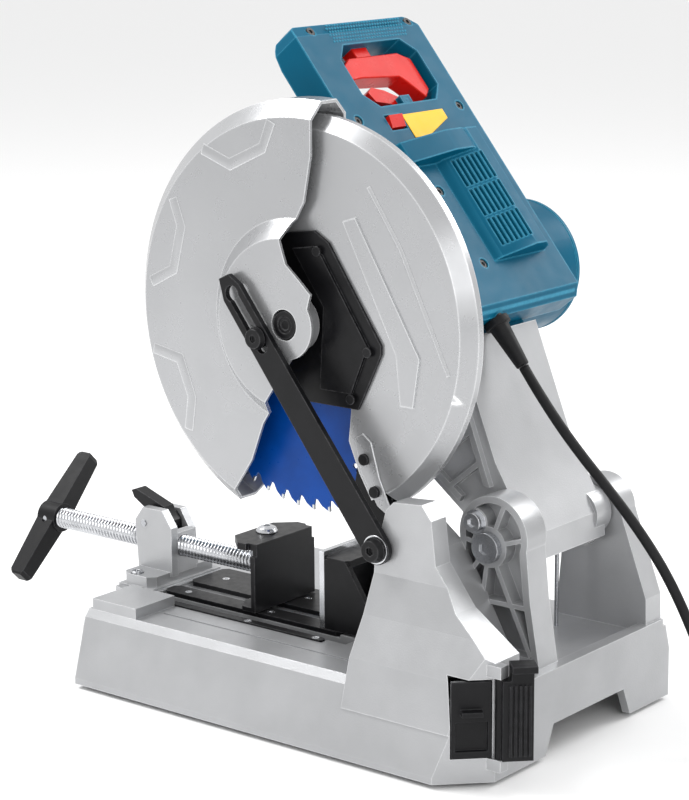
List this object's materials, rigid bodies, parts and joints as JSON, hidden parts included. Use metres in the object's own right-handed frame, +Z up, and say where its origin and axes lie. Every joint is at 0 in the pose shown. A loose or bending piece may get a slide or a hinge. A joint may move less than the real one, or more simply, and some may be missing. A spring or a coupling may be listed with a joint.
{
  "type": "metal-cutting chop saw",
  "caption": "Chop saw for metal: a toothed blade on a sprung tilting head with moving guard, motor, D-handle and trigger, over a cast base with screw vise, swivelling fence and chip tray.",
  "frame": {"origin": "centre of the four bench bolt holes, at the height of the bench", "axes": "+Z up, +Y to the rear, +X to the operator's right"},
  "size_m": [0.337, 0.812, 0.5323],
  "materials": {
    "casting": "satin",
    "guard": "satin",
    "housing": "satin",
    "black_steel": "satin",
    "black_plastic": "matt",
    "red_plastic": "gloss",
    "zinc": "zinc plated",
    "steel": "machined",
    "blade_paint": "coated",
    "carbide": "ground",
    "rubber": "matt",
    "label": "printed film"
  },
  "bodies": {
    "base": {"base_casting": "casting", "table_plates": "black_steel", "plate_screws": "zinc", "rubber_feet": "rubber", "vise_block": "casting", "vise_block_bolts": "zinc", "pivot_shaft": "steel", "bracket_bolts": "zinc", "return_spring": "steel", "link_bolt": "black_steel", "depth_stop": "steel", "fence_bolts": "zinc", "release_pin": "steel", "cord": "rubber", "cord_coil": "rubber", "plug": "rubber"},
    "fence": {"fence_plate": "zinc", "fence_bracket": "black_steel"},
    "half_nut": {"quick_release": "black_steel"},
    "vise_carriage": {"jaw_block": "steel", "jaw_bolt": "zinc"},
    "jaw": {"vise_jaw": "black_steel"},
    "screw": {"vise_screw": "zinc", "t_handle": "black_plastic", "handle_pin": "steel"},
    "head": {"arm_casting": "casting", "fixed_guard": "guard", "arbor_cover": "black_steel", "guard_screws": "black_steel", "gear_housing": "casting", "motor_housing": "housing", "handle_shell": "housing", "motor_end_cap": "housing", "stator": "steel", "carbon_brushes": "steel", "bearings": "steel", "switch_unit": "black_plastic", "housing_screws": "black_steel", "blank_label": "label", "laser_module": "black_plastic", "chip_deflector": "black_plastic", "strain_relief": "rubber"},
    "arbor": {"arbor_shaft": "steel", "blade_flanges": "zinc", "arbor_bolt": "steel", "saw_blade": "blade_paint", "blade_tips": "carbide", "output_gear": "steel"},
    "idler": {"idler_gears": "steel"},
    "rotor": {"armature": "steel"},
    "moving_guard": {"lower_guard": "guard", "guard_pin": "black_steel"},
    "link": {"guard_link": "black_steel"},
    "trigger_button": {"trigger": "red_plastic"},
    "lock_lever": {"lock_off": "red_plastic"},
    "rocker": {"laser_switch": "red_plastic"},
    "lock_button": {"spindle_lock": "black_plastic"},
    "head_lock_pin": {"transport_pin": "steel"},
    "tray": {"chip_tray": "black_plastic"},
    "latch": {"tray_latch": "black_plastic"}
  },
  "joints": [
    {"name": "head_swing", "type": "hinge", "parent": "base", "child": "head", "pos_m": [0.05, 0.153, 0.156], "axis": [1, 0, 0], "range_deg": [0, 38], "stiffness_Nm_per_rad": 15, "springref_deg": -126.05},
    {"name": "blade_spin", "type": "hinge", "parent": "head", "child": "arbor", "pos_m": [0.05, 0, 0.316], "axis": [1, 0, 0], "continuous": true},
    {"name": "idler_spin", "type": "hinge", "parent": "head", "child": "idler", "pos_m": [0.02, 0.01882, 0.34669], "axis": [1, 0, 0], "continuous": true},
    {"name": "rotor_spin", "type": "hinge", "parent": "head", "child": "rotor", "pos_m": [0.02, 0.03764, 0.33023], "axis": [1, 0, 0], "continuous": true},
    {"name": "guard_swing", "type": "hinge", "parent": "head", "child": "moving_guard", "pos_m": [0.05, 0, 0.316], "axis": [1, 0, 0], "range_deg": [-70, 0]},
    {"name": "link_swing", "type": "hinge", "parent": "base", "child": "link", "pos_m": [0.092, 0.094, 0.158], "axis": [1, 0, 0], "range_deg": [0, 42.5]},
    {"name": "trigger_pull", "type": "slide", "parent": "head", "child": "trigger_button", "axis": [0, -0.6293, 0.7771], "range_m": [0, 0.007], "stiffness_N_per_m": 400, "springref_m": -0.01},
    {"name": "lock_off_turn", "type": "hinge", "parent": "head", "child": "lock_lever", "pos_m": [-0.074, -0.0136, 0.46502], "axis": [0, 0.7771, 0.6293], "range_deg": [0, 15], "stiffness_Nm_per_rad": 0.05, "springref_deg": -34.38},
    {"name": "rocker_turn", "type": "hinge", "parent": "head", "child": "rocker", "pos_m": [-0.0415, 0.008, 0.45742], "axis": [1, 0, 0], "range_deg": [0, 12]},
    {"name": "spindle_lock_push", "type": "slide", "parent": "head", "child": "lock_button", "axis": [0, 0.6293, -0.7771], "range_m": [0, 0.004], "stiffness_N_per_m": 600, "springref_m": -0.006},
    {"name": "transport_pin_push", "type": "slide", "parent": "base", "child": "head_lock_pin", "axis": [1, 0, 0], "range_m": [0, 0.014]},
    {"name": "vise_slide", "type": "slide", "parent": "base", "child": "vise_carriage", "axis": [0, 1, 0], "range_m": [-0.06, 0.04]},
    {"name": "screw_turn", "type": "hinge", "parent": "vise_carriage", "child": "screw", "pos_m": [0.01, -0.331, 0.094], "axis": [0, 1, 0], "range_deg": [-3600, 2400]},
    {"name": "jaw_swivel", "type": "hinge", "parent": "vise_carriage", "child": "jaw", "pos_m": [0.01, -0.085, 0.119], "axis": [0, 0, 1], "range_deg": [-40, 40]},
    {"name": "fence_turn", "type": "hinge", "parent": "base", "child": "fence", "pos_m": [-0.014, 0.026, 0.068], "axis": [0, 0, 1], "range_deg": [-45, 0]},
    {"name": "half_nut_lift", "type": "hinge", "parent": "base", "child": "half_nut", "pos_m": [0.01, -0.207, 0.112], "axis": [1, 0, 0], "range_deg": [0, 30]},
    {"name": "tray_pull", "type": "slide", "parent": "base", "child": "tray", "axis": [0.7071, 0.7071, 0], "range_m": [0, 0.05]},
    {"name": "latch_turn", "type": "hinge", "parent": "base", "child": "latch", "pos_m": [0.09963, 0.21233, 0.055], "axis": [0, 0, 1], "range_deg": [-70, 0]}
  ],
  "couplings": [
    {"joint": "guard_swing", "follows": "head_swing", "ratio": -1.8421},
    {"joint": "link_swing", "follows": "head_swing", "ratio": 1.1184},
    {"joint": "idler_spin", "follows": "blade_spin", "ratio": -3},
    {"joint": "rotor_spin", "follows": "blade_spin", "ratio": 12},
    {"joint": "vise_slide", "follows": "screw_turn", "m_per_rad": 0.000954}
  ]
}
